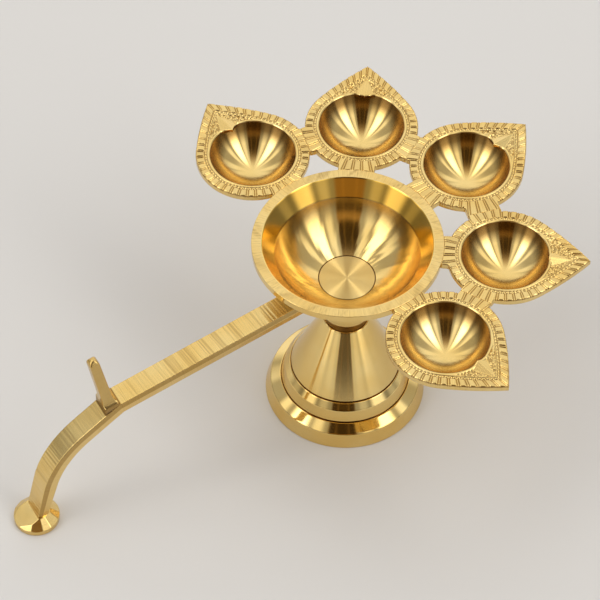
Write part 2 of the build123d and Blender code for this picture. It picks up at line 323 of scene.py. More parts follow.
# %% [markdown]
# Light spreads across the grooves that a tool leaves, which is why a turned cup shows a fan of light from
# its middle. The shader calls this anisotropy: its roughness is larger along one tangent than along the
# other. The tangent comes from the UV map, so the fan turns with the piece.

# %% Finishes
gold = (0.87, 0.645, 0.26, 1.0)
deep_gold = (0.83, 0.57, 0.19, 1.0)


def make_finish(name, roughness, spread, line_pitch, line_depth, across=True, streak=0.08, line_shade=0.0,
                golds=(gold, deep_gold)):
    """A brass finish whose tool lines follow the UV map round the piece or along it, with painted shade."""
    material = bpy.data.materials.new(name)
    material.use_nodes = True
    tree = material.node_tree
    shader = tree.nodes["Principled BSDF"]
    painted_shade_and_tone = put(tree, "ShaderNodeAttribute", attribute_name="painted_shade_and_tone").outputs["Fac"]
    tone = put(tree, "ShaderNodeGroup", node_tree=brass_tone)
    tone.inputs["Gold"].default_value, tone.inputs["Deep gold"].default_value = golds
    turning = put(tree, "ShaderNodeUVMap", uv_map="turning").outputs[0]
    place = put(tree, "ShaderNodeSeparateXYZ", {0: turning})
    lines = put(tree, "ShaderNodeGroup", node_tree=tool_lines)
    lines.inputs["Pitch"].default_value = line_pitch
    tree.links.new(place.outputs["Y" if across else "X"], lines.inputs["Place"])
    # Painted shade in the low half of the tool lines, added to the painted shade of the mesh.
    hollows = calculate(tree, "MAXIMUM", calculate(tree, "SUBTRACT", 0.5, lines.outputs["Lines"]), 0.0)
    tree.links.new(calculate(tree, "MULTIPLY_ADD", hollows, line_shade, painted_shade_and_tone), tone.inputs["Painted shade and tone"])
    uneven = calculate(tree, "MULTIPLY_ADD", lines.outputs["Lines"], streak, roughness - streak / 2)
    uneven = calculate(tree, "MAXIMUM", uneven, 0.07)
    tree.links.new(calculate(tree, "ADD", uneven, tone.outputs["Dullness"]), shader.inputs["Roughness"])
    bump = put(tree, "ShaderNodeBump", {
        "Strength": 1.0, "Distance": line_depth, "Height": lines.outputs["Lines"]})
    tangent = put(tree, "ShaderNodeTangent", direction_type="UV_MAP", uv_map="turning")
    tree.links.new(tone.outputs["Color"], shader.inputs["Base Color"])
    tree.links.new(bump.outputs[0], shader.inputs["Normal"])
    tree.links.new(tangent.outputs[0], shader.inputs["Tangent"])
    shader.inputs["Metallic"].default_value = 1.0
    shader.inputs["Anisotropic"].default_value = spread
    shader.inputs["Anisotropic Rotation"].default_value = 0.25 if across else 0.0
    return material


polished = make_finish("polished turned brass", 0.10, 0.5, 0.0004, 0.000001)
# The band's deeper golds are painted reflection.
painted_reflection_brass = make_finish("band brass with painted reflection", 0.10, 0.5, 0.0004, 0.000001,
                        golds=((0.85, 0.55, 0.12, 1.0), (0.80, 0.48, 0.08, 1.0)))
satin = make_finish("satin turned brass", 0.12, 1.0, 0.00016, 0.000001, streak=0.22)
brushed = make_finish("brushed turned brass", 0.105, 1.0, 0.0002, 0.000001, streak=0.12)
faced = make_finish("faced turned brass", 0.36, 1.0, 0.0003, 0.000001, streak=0.2)
stroked = make_finish("stroked rim brass", 0.28, 0.6, 0.0024, 0.00002, across=False, line_shade=1.7)
cast = make_finish("cast brass", 0.22, 0.0, 0.0035, 0.00001, across=False, line_shade=0.8)
filed = make_finish("filed brass", 0.22, 0.6, 0.0006, 0.000010, line_shade=0.8)
rough = make_finish("rough turned brass", 0.42, 0.5, 0.0008, 0.00002)
print("finishes:", len(bpy.data.materials))

# %% [markdown]
# The bowl was turned from a casting: a flat rim, a mirror-polished band below it, given a deeper gold as
# painted reflection, a dish left satin by a fine cloth, and a stem under it that takes the screw. One
# closed outline gives all of it, inside and out. The rim was then dressed by hand with strokes that run
# outwards, so its rings are lifted by uneven marks round the turn.

# %% Bowl outline
rim_width, rim_edge, band_width, band_depth = 3.8, 3.0, 4.7, 5.9
bowl_wall, dish_rise, cove_bulge = 2.4, 2.2, 0.17
stem_radius, stem_straight, seat_gap = 9.3, 3.0, 0.05
lip_radius = rim_radius - rim_width
band_radius = lip_radius - band_width


def bowl_outline():
    """The bowl's closed outline as (radius, height): up the outside, over the rim and down the inside."""
    stem_top = (stem_radius, stem_bottom + stem_straight)
    belly = (floor_radius + bowl_wall, screw_seat)
    shoulder = (band_radius + bowl_wall, rim_height - band_depth - bowl_wall / 2)
    band = (band_radius, rim_height - band_depth)
    seat = floor_radius + seat_gap
    cove_rise = cove_bulge * np.hypot(belly[0] - stem_top[0], belly[1] - stem_top[1])
    return softened([
        corner((bore_radius, stem_bottom), 0.2), corner((stem_radius, stem_bottom), 0.5),
        corner(stem_top, 0.4), smooth(arc(stem_top, belly, cove_rise)), corner(belly, 0.6),
        smooth(arc(belly, shoulder, -dish_rise)), corner(shoulder, 0.6),
        corner((lip_radius, rim_height - rim_edge), 0.4),
        corner((rim_radius, rim_height - rim_edge), 0.35), corner((rim_radius, rim_height), 0.3),
        smooth([(rim_radius - rim_width / 2, rim_height)]), corner((lip_radius, rim_height), 0.4),
        corner(band, 0.3), smooth(arc(band, (seat, floor_height), dish_rise)),
        corner((seat, floor_height), 0.14), corner((seat, screw_seat), 0.05),
        corner((bore_radius, screw_seat), 0.05)])


outline = bowl_outline()
print("bowl outline:", len(outline), "points")


# %% Finish of each strip of the bowl
def bowl_finishes(outline):
    """Finish number of each strip: 2 on the rim, 1 in the dish, 3 on the band between, 0 elsewhere."""
    radius, height = strip_middles(outline)
    band_line = rim_height - (lip_radius - radius) * band_depth / band_width
    on_rim = (height > rim_height - 0.05) & (radius > lip_radius + 0.2)
    in_dish = (radius < band_radius) & (height > floor_height - 0.2)
    on_band = (np.abs(height - band_line) < 0.2) & (height < rim_height - 0.1)
    return np.select([on_rim, in_dish, on_band], [2, 1, 3], 0)


bowl_finish = bowl_finishes(outline)
print("strips in the dish:", int((bowl_finish == 1).sum()))

# %% Centre bowl
# Painted shade: the fourth value darkens the rim's low strokes, and the last three on the next line darken
# the dish toward its edge and the band.
bowl_columns, stroke_lift, stroke_slant, stroke_shade_strength, rim_worn = 720, 0.03, 0.004, 0.16, 0.05
dish_ripple, dish_edge_shade, band_edge_shade, edge_shade_start = 0.0014, 0.5, 0.7, 5 / 6


def marked_bowl(outline):
    """Rings of the bowl with uneven strokes over the rim and a ripple in the dish, and their shade.

    Painted shade darkens the stem's end, the parting line round the floor and the rim's low strokes. It
    also grows in the bowl from a set share of the dish's radius to its edge, and is lighter on the band.
    """
    radius, height = outline.T[..., None]
    share = np.arange(bowl_columns) / bowl_columns + stroke_slant * (radius - rim_radius)
    strokes = hand_marks(share, 300, 1) + 0.8 * hand_marks(share, 60, 2)
    ripple = hand_marks(share, 46, 3) + 0.5 * hand_marks(share, 110, 4)
    on_rim = np.clip((height - rim_height + 0.3) / 0.3, 0, 1) * np.clip(radius - lip_radius - 0.1, 0, 1)
    in_dish = np.clip((band_radius - radius) / 2, 0, 1) * (height > floor_height + 0.1)
    rings = turned(outline, bowl_columns)
    rings[..., 2] += on_rim * (stroke_lift * strokes - rim_worn) + in_dish * radius * dish_ripple * ripple
    # Painted shade at the stem's end, in the parting line, toward the dish's edge and in the rim's low
    # strokes.
    stem_end = 0.8 * np.clip((stem_bottom + 0.7 - height) / 0.5, 0, 1)
    parting = (np.abs(radius - floor_radius) < 0.2) & (height > screw_seat + 0.2)
    inside = (radius < lip_radius - 0.2) & (height > floor_height + 1)
    edge_shade_share = np.clip((radius / band_radius - edge_shade_start) / (1 - edge_shade_start), 0, 1)
    edge_shade_share = edge_shade_share * np.where(radius > band_radius + 0.1, band_edge_shade, 1.0)
    stroke_shade = on_rim * np.clip(-stroke_shade_strength * strokes, 0, 0.4)
    return rings, np.where(parting, 1.0, stem_end) + dish_edge_shade * inside * edge_shade_share + stroke_shade


rings, shade = marked_bowl(outline)
bowl_mesh = fill_mesh("bowl", rings, closed=True, strip_finish=bowl_finish, painted_shade_and_tone=shade)
add_piece("bowl", "centre_bowl", "head", [polished, satin, stroked, painted_reflection_brass], bowl_mesh)

# %% [markdown]
# The bowl's floor is the wide head of a screw, faced flat so that only a thin line shows round it. Its
# stud hangs down and screws into the pedestal. The thread is a true helix: the radius depends on height
# and angle together.

# %% Centre screw
thread_pitch, thread_depth, screw_point = 1.5, 0.75, 1.0


def screw_rings(columns=144):
    """Rings from the middle of the head, over its edge, down the stud and in to the middle of its end."""
    head = np.column_stack([np.linspace(0.4, floor_radius - 0.3, 26), np.full(26, floor_height)])
    edge = np.array([
        [floor_radius - 0.12, floor_height - 0.01], [floor_radius - 0.04, floor_height - 0.06],
        [floor_radius, floor_height - 0.16], [floor_radius, screw_seat + 0.1],
        [floor_radius - 0.1, screw_seat], [screw_radius + 0.1, screw_seat]])
    height = np.arange(screw_seat - 0.05, screw_end, -0.1)
    point = screw_radius - screw_point + height - screw_end
    stud = np.column_stack([np.minimum(screw_radius, point), height])
    rings = turned(np.concatenate([head, edge, stud, [[1.0, screw_end]]]), columns)
    angle = np.arange(columns) / columns
    wave = np.abs(2 * ((rings[..., 2] / thread_pitch - angle) % 1) - 1)
    threaded = (rings[..., 2] < screw_seat - 0.1) & (rings[..., 2] > screw_end + 0.05)
    radius = np.hypot(rings[..., 0], rings[..., 1])
    cut = np.where(threaded, 1 - thread_depth * wave / radius, 1)
    return rings * np.stack([cut, cut, np.ones_like(cut)], -1)


rings = screw_rings()
edge_shade = np.clip((np.hypot(rings[..., 0], rings[..., 1]) - floor_radius + 0.16) / 0.06, 0, 1)
screw_mesh = fill_mesh("screw", rings, painted_shade_and_tone=edge_shade)
add_piece("floor_screw", "centre_screw", "head", [faced], screw_mesh)

# %% [markdown]
# A small ring keeps the stem off the pedestal. Its brass is darkened with painted shade, so it makes the
# dark line of the neck.

# %% Neck ring
ring_outline = softened([
    corner((bore_radius, neck_height), 0.2), corner((ring_radius, neck_height), 0.4),
    corner((ring_radius, stem_bottom), 0.4), corner((bore_radius, stem_bottom), 0.2)])
# The ring's painted shade.
ring_mesh = fill_mesh("ring", turned(ring_outline, 160), closed=True, painted_shade_and_tone=0.7)
add_piece("spacer_ring", "neck_ring", "neck_ring", [brushed], ring_mesh)

# %% [markdown]
# The pedestal is one turning with two polished tiers and a straight satin cone. It is hollow from below,
# to save metal, with a boss at the top for the screw. Polished bevels next to satin bands give it its
# rhythm.

# %% Pedestal outline
foot_shoulder_radius, foot_shoulder, first_step_radius, first_step = 28.4, 5.9, 24.7, 8.0
tier_top_radius, tier_top, second_step_radius, second_step = 22.9, 13.0, 21.0, 15.6
groove_width, groove_depth, neck_radius, base_wall, boss_depth = 0.5, 0.5, 8.7, 2.8, 16.6
tier_foot, cone_foot = first_step_radius - groove_depth, second_step_radius - groove_depth


def pedestal_outline():
    """The pedestal's closed outline as (radius, height): down the outside, then up the hollow and bore."""
    cone_start, boss = second_step + groove_width, neck_height - boss_depth
    slope = (cone_foot - neck_radius) / (neck_height - cone_start)
    ceiling = cone_foot - slope * (boss - cone_start) - base_wall
    outside = [
        ((neck_radius, neck_height), 0.4), ((cone_foot, cone_start), 0.1), ((cone_foot, second_step), 0.1),
        ((second_step_radius, second_step), 0.25), ((tier_top_radius, tier_top), 0.3),
        ((tier_foot, first_step + groove_width), 0.1), ((tier_foot, first_step), 0.1),
        ((first_step_radius, first_step), 0.25), ((foot_shoulder_radius, foot_shoulder), 0.4),
        ((foot_radius, 0), 0.5)]
    inside = [
        ((foot_shoulder_radius - base_wall, 0), 0.4), ((tier_foot - base_wall, foot_shoulder), 0.8),
        ((cone_foot - base_wall, second_step), 0.8), ((ceiling, boss), 1.2), ((bore_radius, boss), 0.4),
        ((bore_radius, neck_height), 0.3)]
    return softened([corner(place, radius) for place, radius in outside + inside])


outline = pedestal_outline()
print("pedestal outline:", len(outline), "points")

# %% Pedestal
middle_radius, middle_height = strip_middles(outline)
hidden = np.arange(len(outline)) > np.argmin(outline[:, 1] - outline[:, 0] / 100) + 8
on_cone = middle_height > second_step + groove_width
on_tier = (middle_height > first_step + groove_width) & (middle_height < tier_top - 0.3)
on_foot = middle_height < foot_shoulder - 0.4
pedestal_finish = np.select([hidden, on_cone | on_tier | on_foot], [2, 1], 0)
groove_shade = np.zeros(len(outline))
for step, radius in ((first_step, tier_foot), (second_step, cone_foot)):
    level = np.abs(outline[:, 1] - step - groove_width / 2) < 0.3
    groove_shade[level & (np.abs(outline[:, 0] - radius) < 0.3)] = 1.0
pedestal_mesh = fill_mesh("pedestal", turned(outline, 288), closed=True, strip_finish=pedestal_finish,
                          painted_shade_and_tone=groove_shade[:, None])
add_piece("base", "pedestal", "pedestal", [polished, brushed, rough], pedestal_mesh)

# %% [markdown]
# Each leaf cup is one casting: a spherical cup in a leaf-shaped plate. Its border is cut into flutes by a
# file, a row of beads runs inside them, and a long pyramid, the spear, points from the cup to the tip
# over a stippled field. A plate with displacement could fake this, but real grooves catch light from
# every side, so the cup is drawn as rings from the pole of its underside, round the edge of the plate,
# across the border and down to the bottom of the cup.

# %% Leaf outline
petal_count, petal_pitch, fan_turn = 5, 45.5, 10.4
cup_reach, cup_radius, cup_depth, cup_wall = 56.5, 16.05, 10.3, 1.5
leaf_radius, leaf_tip, leaf_side = 21.2, 30.7, 120.0
plate, border_width, lip_width, field_depth = 2.5, 4.4, 0.7, 0.6
back_flutes, side_flutes = 29, 7
flutes = back_flutes + 2 * side_flutes
flute_shares = np.array([0, 6, 9, 12, 15, 18.5, 25, 37.5, 50, 62.5, 75, 81.5, 85, 88, 91, 94]) / 100
flute = (np.arange(flutes)[:, None] + flute_shares).ravel()
arc_offset = leaf_side - leaf_radius
tangent_turn = np.arccos((leaf_side**2 - arc_offset**2 - leaf_tip**2) / (2 * leaf_tip * arc_offset))


def leaf_line(inset):
    """The leaf outline drawn in by each inset, at every place of flute, from tip round back to tip.

    The back is a circle about the cup. Each side is a flat arc, tangent to it, that ends at the tip.
    """
    inset = np.asarray(inset, float)[:, None]
    place = np.minimum(flute, flutes - flute)
    side = np.where(flute * 2 <= flutes, 1.0, -1.0)
    tip_turn = np.arcsin(arc_offset * np.sin(tangent_turn) / (leaf_side - inset))
    side_turn = tip_turn + (tangent_turn - tip_turn) * place / side_flutes
    back_turn = tangent_turn + (np.pi - tangent_turn) * (place - side_flutes) / (back_flutes / 2)
    on_side = place < side_flutes
    x = np.where(on_side, (leaf_side - inset) * np.cos(side_turn) - arc_offset * np.cos(tangent_turn),
                 (leaf_radius - inset) * np.cos(back_turn))
    y = np.where(on_side, (leaf_side - inset) * np.sin(side_turn) - arc_offset * np.sin(tangent_turn),
                 (leaf_radius - inset) * np.sin(back_turn))
    return np.stack([x, side * y], -1)


print(f"leaf: {flutes} flutes, tip {leaf_tip} mm from the cup's middle")

# %% [markdown]
# The five leaves were brazed on by hand, and none sits quite even: each is a little out or in, aside or
# twisted. Each plate runs on past its outline where it meets the bowl's rim or a neighbour. A ray from
# the cup's middle meets each of those edges at a distance that a line of algebra gives, and the plate
# ends at the right one of them.

# %% Where each leaf sits
leaf_outward = (-1.2, 1.0, 1.6, 0.6, -0.9)
leaf_aside = np.radians((-0.9, -0.1, 1.4, 0.5, -0.2))
leaf_twist = np.radians((-4.6, 0.6, 1.6, 1.5, 6.8))
tab_width, web_length, braze_gap, no_edge = 13.6, 12.4, 0.03, 99.0
half_pitch = np.radians(petal_pitch / 2)


def direction(angle):
    """Unit vector at an angle, in the plane of the plate."""
    return np.array([np.cos(angle), np.sin(angle)])


def leaf_extra(k):
    """How far the plate of leaf k runs past its outline at each place of flute, and where it is joined."""
    line = leaf_line([0.0])[0]
    outline = np.linalg.norm(line, axis=1)
    ray = line / outline[:, None]
    reach = cup_reach + leaf_outward[k]
    axis_way = direction(np.pi - leaf_twist[k])
    toward, sideways = ray @ axis_way, np.abs(ray @ direction(np.pi / 2 - leaf_twist[k]))
    chord = rim_radius**2 - (reach * sideways)**2
    to_rim = np.where((toward > 0) & (chord > 0), reach * toward - np.sqrt(np.maximum(chord, 0)), no_edge)
    tab = np.where(toward > 0, np.minimum(to_rim, tab_width / 2 / np.maximum(sideways, 0.01)), 0)
    extent = np.maximum(outline, tab)
    nearest_seam = np.full(len(ray), no_edge)
    for side, neighbour in ((1, k - 1), (-1, k + 1)):
        if 0 <= neighbour < petal_count:
            seam_turn = side * half_pitch - leaf_aside[k]
            along, away = (direction(seam_turn + a - leaf_twist[k]) for a in (0, side * np.pi / 2))
            outwards = ray @ away
            seam_distance = reach * np.sin(abs(seam_turn))
            to_seam = np.where(outwards > 0.05, seam_distance / np.maximum(outwards, 0.05), no_edge)
            start = reach * np.cos(seam_turn) - cup_reach * np.cos(half_pitch)
            pace = ray @ along
            wall = np.sign(pace) * web_length / 2
            to_wall = (wall - start) / np.where(np.abs(pace) < 0.001, 0.001, pace)
            extent = np.maximum(extent, np.where(outwards > 0.05, np.minimum(to_seam, to_wall), 0))
            extent = np.minimum(extent, to_seam - braze_gap)
            nearest_seam = np.minimum(nearest_seam, to_seam)
    joined = (extent > to_rim - 2 * braze_gap) | (np.abs(extent - nearest_seam) < 2 * braze_gap)
    return np.minimum(extent, to_rim - braze_gap) - outline, joined


longest = [round(float(leaf_extra(k)[0].max()), 1) for k in range(petal_count)]
print("plate past the outlines, mm:", longest)

# %% [markdown]
# Between two pads of the border the file left two thin grooves with a rib between them. The profile is
# the same in every flute, but each pad has its own level and lean, because it was cut by eye.

# %% Marks on the leaf
flute_profile = np.array([
    (0, 0.0), (6, -0.05), (9, -0.25), (12, -0.38), (15, -0.25), (18.5, -0.06), (25, -0.02), (50, 0.0)])


def flute_height(level, lean):
    """Height of the border at each place of flute: the profile, and a lean and a level for each pad."""
    number = np.floor(flute).astype(int)
    share = flute - number
    from_rib = np.minimum(share, 1 - share)
    pad = np.clip((from_rib - 0.16) / 0.06, 0, 1)
    profile = np.interp(from_rib * 100, flute_profile[:, 0], flute_profile[:, 1])
    return profile + pad * (level[number] + lean[number] * (share - 0.5))


def stipple(x, y, pitch, seed):
    """Domes on a shaken grid: one minus the squared distance to the nearest point, over its reach."""
    column, row = np.floor(x / pitch), np.floor(y / pitch)
    nearest = np.full(x.shape, 9.0)
    for step in range(9):
        near_column, near_row = column + step % 3 - 1, row + step // 3 - 1
        shake = np.sin(near_column * 127.1 + near_row * 311.7 + seed) * 43758.5
        shift_x, shift_y = shake % 1, (shake * 7.31) % 1
        distance = np.hypot(x / pitch - near_column - shift_x, y / pitch - near_row - shift_y)
        nearest = np.minimum(nearest, distance)
    return np.clip(1 - (1.6 * nearest)**2, 0, 1)


# %% The spear and its beak
spear_half_width, spear_rise, beak, beak_curve, beak_blend = 4.0, 1.5, 2.3, 1.5, 0.2
spear_point = leaf_line([border_width])[0][0, 0]
spear_corner = np.sqrt(cup_radius**2 - spear_half_width**2)


def spear_height(x, y):
    """A low pyramid over the field: a ridge that falls from the beak to the point, with falling sides."""
    fall = spear_rise / (spear_point - cup_radius + beak)
    side = fall * (spear_point - spear_corner) / spear_half_width
    return np.maximum(fall * (spear_point - x) - side * np.abs(y), 0) * (x > 0)


def beak_depth(turn, sharpness):
    """How far the beak draws in the cup's edge at each turn about the cup: concave sides to a point."""
    aside = np.abs(np.sin(turn)) * cup_radius / spear_half_width
    return sharpness * beak * np.clip(1 - aside, 0, 1)**beak_curve * (np.cos(turn) > 0)


print(f"spear from {cup_radius - beak:.1f} to {spear_point:.1f} mm")

# %% Rings of the plate
cup_sphere = (cup_radius**2 + cup_depth**2) / (2 * cup_depth)
ball_height = cup_sphere - cup_depth
inner_line = leaf_line([border_width])[0]
leaf_turn = np.arctan2(inner_line[:, 1], inner_line[:, 0])
leaf_ray = np.stack([np.cos(leaf_turn), np.sin(leaf_turn)], -1)


def rings_at(flat, height):
    """Rings from flat places and heights."""
    return np.concatenate([flat, np.broadcast_to(height, flat.shape[:2])[..., None]], -1)


def underside(extra):
    """The outside of the cup from its pole, then the flat of the plate almost to its edge."""
    shell = cup_sphere + cup_wall
    shell_end = np.arccos((ball_height + plate) / shell)
    angle = np.linspace(0.02, shell_end, 14)[:, None]
    cup = rings_at(shell * np.sin(angle)[..., None] * leaf_ray, ball_height - shell * np.cos(angle))
    shell_edge = shell * np.sin(shell_end) * leaf_ray
    out = np.array([0.04, 0.3, 0.6, 0.9, 0.985])[:, None, None]
    flat = shell_edge + (leaf_line([0.0])[0] + leaf_ray * extra[:, None] - shell_edge) * out
    return np.concatenate([cup, rings_at(flat, -plate)])


def border(extra, relief, joined):
    """The edge of the plate, scalloped between the pads, and the fluted border as far as the beads."""
    inset = np.array([0.06, 0, 0, 0.05, 0.16, 0.34, 0.6, 0.95, 1.4, 1.9, 2.4, 2.8, 3.05, 3.2])
    edge = np.array([
        -plate + 0.06, -plate + 0.25, -0.75, -0.42, -0.2, -0.07, -0.02, 0, 0, 0, 0, -0.02, -0.08, -0.2])
    share = np.array([0, 0, 0.5, 0.9, 1, 1, 1, 1, 1, 1, 1, 1, 0.9, 0.6])[:, None]
    scallop = 0.2 * np.clip(-relief, 0, 0.5) * np.linspace(1, 0, len(inset))[:, None] * share
    edge = edge[:, None] * np.where(joined & (edge > -1)[:, None], 0.15, 1.0)
    shift = extra * (1 - inset / 3.3)[:, None] - scallop
    flat = leaf_line(inset) + leaf_ray * shift[..., None]
    return rings_at(flat, edge + share * relief)


def beads():
    """A row of small domes, two in each flute, with pits between them."""
    inset = np.array([3.35, 3.5, 3.68, 3.86, 4.04, 4.2])
    dome = np.array([0.0, 0.65, 1.0, 1.0, 0.65, 0.1])[:, None]
    round_bead = np.sqrt(np.abs(np.sin(2 * np.pi * flute)))
    return rings_at(leaf_line(inset), -0.42 + 0.44 * dome * round_bead)


# %% Rings of the field and the cup
def field(notch, seed):
    """The stippled field with the spear, from the beads to the lip round the cup, and its pits."""
    lip_line = (cup_radius + lip_width - notch)[:, None] * leaf_ray
    share = np.linspace(0, 1, 26)[:, None]
    flat = inner_line + (lip_line - inner_line) * share[..., None]
    width = np.linalg.norm(inner_line - lip_line, axis=1)
    open_field = np.clip((width - 0.4) / 1.5, 0, 1)
    bank = np.clip(np.minimum(share, 1 - share) * width / 0.3, 0, 1) * open_field
    dome = stipple(flat[..., 0], flat[..., 1], 1.0, seed)
    spear = spear_height(flat[..., 0], flat[..., 1])
    floor = bank * (0.4 * dome * (spear <= 0) - field_depth)
    pits = bank * (1 - dome) * (spear <= 0)
    return rings_at(flat, np.maximum(floor, spear - field_depth)), pits


def lip_and_cup(notch, ripple):
    """A rounded lip, then the inside of the cup, which runs back under the beak."""
    lip_line = (cup_radius + lip_width - notch)[:, None] * leaf_ray
    flat = lip_line - leaf_ray * np.array([0.12, 0.35, 0.52, 0.62, 0.68])[:, None, None]
    crest = np.maximum(0.03, spear_height(flat[..., 0], flat[..., 1]) - field_depth)
    lip = rings_at(flat, crest + np.array([0, 0, -0.05, -0.13, -0.24])[:, None])
    cup_end = np.arccos(ball_height / cup_sphere)
    angle = cup_end * (1 - np.linspace(0.03, 0.99, 46)**1.4)[:, None]
    radius = cup_sphere * np.sin(angle)
    depth = cup_sphere * np.cos(angle) - ball_height
    upright = cup_radius - notch * np.clip((1.7 - depth) / 1.1, 0, 1)
    blended = -beak_blend * np.logaddexp(-radius / beak_blend, -upright / beak_blend)
    beaked = np.where(notch > 0.02, blended, radius)
    height = ball_height - cup_sphere * np.cos(angle) + ripple * np.sin(angle)
    return lip, rings_at(beaked[..., None] * leaf_ray, height)


# %% Five leaf cups
beak_sharpness = (1.2, 0.9, 1.0, 0.2, 0.35)
# Painted shade inside each cup toward its lip: how dark, and the shares of the radius where it starts and
# is full.
cup_edge_shade, cup_shade_start, cup_shade_full = 0.85, 0.7, 0.9


def leaf_rings(k):
    """All rings of leaf cup k about its middle, the finish of each strip, and how dark each point is."""
    random = np.random.default_rng(60 + k)
    relief = flute_height(random.normal(0, 0.035, flutes), random.uniform(-0.16, 0.16, flutes))
    notch = beak_depth(leaf_turn, beak_sharpness[k])
    extra, joined = leaf_extra(k)
    ripple = 0.014 * hand_marks(leaf_turn / (2 * np.pi), 40, 80 + k)
    field_rings, pits = field(notch, k)
    lip, cup = lip_and_cup(notch, ripple)
    parts = [underside(extra), border(extra, relief, joined), beads(), field_rings, lip, cup]
    dark = [np.zeros(part.shape[:2]) for part in parts]
    # Painted shade in the flute grooves, between the beads, in the field's pits and toward the cup's lip;
    # each pad also has its own random tone.
    pad_tone = random.uniform(0, 0.16, flutes)[np.floor(flute).astype(int)]
    dark[1][3:] = pad_tone + 0.5 * np.clip((-parts[1][3:, :, 2] - 0.15) / 0.25, 0, 1)
    dark[2] = 0.6 * np.clip((-parts[2][..., 2] - 0.15) / 0.25, 0, 1)
    dark[3] = 0.5 * pits
    wide = np.linalg.norm(cup[..., :2], axis=-1) / cup_radius
    dark[5] = cup_edge_shade * np.interp(wide, (cup_shade_start, cup_shade_full), (0, 1))
    finish = np.concatenate([np.full(len(part), i) for part, i in zip(parts, (0, 0, 0, 0, 1, 2))])[:-1]
    return np.concatenate(parts), finish, np.concatenate(dark)


def turn_about_z(points, angle):
    """Points turned about the Z axis."""
    c, s = np.cos(angle), np.sin(angle)
    return points @ np.array([[c, s, 0], [-s, c, 0], [0, 0, 1]])


for k in range(petal_count):
    rings, leaf_finish, dark = leaf_rings(k)
    fan_place = np.radians(90 + fan_turn + petal_pitch * ((petal_count - 1) / 2 - k)) + leaf_aside[k]
    twisted = turn_about_z(rings, leaf_twist[k]) + [cup_reach + leaf_outward[k], 0, rim_height]
    placed = turn_about_z(twisted, fan_place)
    leaf_mesh = fill_mesh(f"leaf_{k + 1}", placed, strip_finish=leaf_finish, painted_shade_and_tone=dark)
    add_piece(f"leaf_cup_{k + 1}", f"petal_lamp_{k + 1}", "head", [cast, polished, satin],
              leaf_mesh)

# %% [markdown]
# The handle is a cast bar, dressed with a file pushed across it. Its middle line is two straight runs
# that meet at a break under the peg, a bend and a straight tail. Adding up short steps along it gives
# every ring its place, and a ring at the break is turned halfway and stretched, which is a mitre.

# %% Handle path
bar_width, bar_waist, bar_ridge, bar_thick, tail_thick = 8.6, 0.4, 2.1, 5.2, 4.1
bar_below_rim, bar_reach, bend_outside = 21.9, 131.6, 38.0
bar_dip, fall_dip, tail_dip = np.radians((10.2, 31.5, 74.0))
peg_place, break_before_peg = 98.7, 2.7
pad_height = pad_high[2]
tail_half = tail_thick / 2 / np.sin(tail_dip)
bar_step, break_clear, tail_overrun = 0.2, 0.6, 0.8


def downhill(dip):
    """Direction of a run that falls at an angle, as (reach, height)."""
    return np.array([np.cos(dip), -np.sin(dip)])


def bar_top(reach):
    """Height of the top face on the first run."""
    return rim_height - bar_below_rim - (reach - rim_radius) * np.tan(bar_dip)


def bar_lengths():
    """Where the middle line breaks, as (reach, height), and the lengths of steep run, bend and tail."""
    middle_dip, half_break = (bar_dip + fall_dip) / 2, (fall_dip - bar_dip) / 2
    break_reach = peg_place - break_before_peg
    upright = np.array([np.sin(middle_dip), np.cos(middle_dip)])
    above = np.array([break_reach, bar_top(break_reach)])
    bar_break = above - upright * bar_thick / 2 / np.cos(half_break)
    to_foot = np.array([bar_reach - tail_half, pad_height]) - bar_break
    steep, tail = np.linalg.solve(np.stack([downhill(fall_dip), downhill(tail_dip)], 1), to_foot)
    radius = bend_outside - bar_thick / 2
    tangent = radius * np.tan((tail_dip - fall_dip) / 2)
    return bar_break, steep - tangent, radius * (tail_dip - fall_dip), tail - tangent


def bar_path():
    """Each ring's distance along the bar, place (reach, height), slope, stretch and thickness."""
    bar_break, steep, bend, tail = bar_lengths()
    run = bar_break[0] / np.cos(bar_dip)
    whole = run + steep + bend + tail
    s = np.concatenate([np.arange(0, run - break_clear, bar_step), [run],
                        np.arange(run + break_clear, whole + tail_overrun, bar_step)])
    halfway = (s[1:] + s[:-1]) / 2
    bent = np.clip((halfway - run - steep) / bend, 0, 1)
    dip = np.where(halfway < run, bar_dip, fall_dip + (tail_dip - fall_dip) * bent)
    steps = np.diff(s)[:, None] * downhill(dip).T
    start = bar_break - run * downhill(bar_dip)
    place = start + np.concatenate([[[0, 0]], np.cumsum(steps, 0)])
    dip_before, dip_after = np.append(dip[0], dip), np.append(dip, dip[-1])
    thin = np.clip((s - run - steep - bend) / tail, 0, 1)
    stretch = 1 / np.cos((dip_after - dip_before) / 2)
    return s, place, (dip_before + dip_after) / 2, stretch, bar_thick + (tail_thick - bar_thick) * thin


print("bar path:", len(bar_path()[0]), "rings")


# %% Handle bar
def bar_section():
    """A six-sided section with softened corners: x across the bar, y from -0.5 below to 0.5 on top."""
    half, ridge, top = bar_width / 2, 0.5 * bar_thick - bar_ridge, bar_thick / 2
    sides = [(-half, top), (-half - bar_waist, ridge), (-half, -top),
             (half, -top), (half + bar_waist, ridge), (half, top)]
    face = np.column_stack([np.linspace(0.8 * half, -0.8 * half, 9), np.full(9, top)])
    return softened([*(corner(place, 0.3) for place in sides), smooth(face)]) / [1, bar_thick]


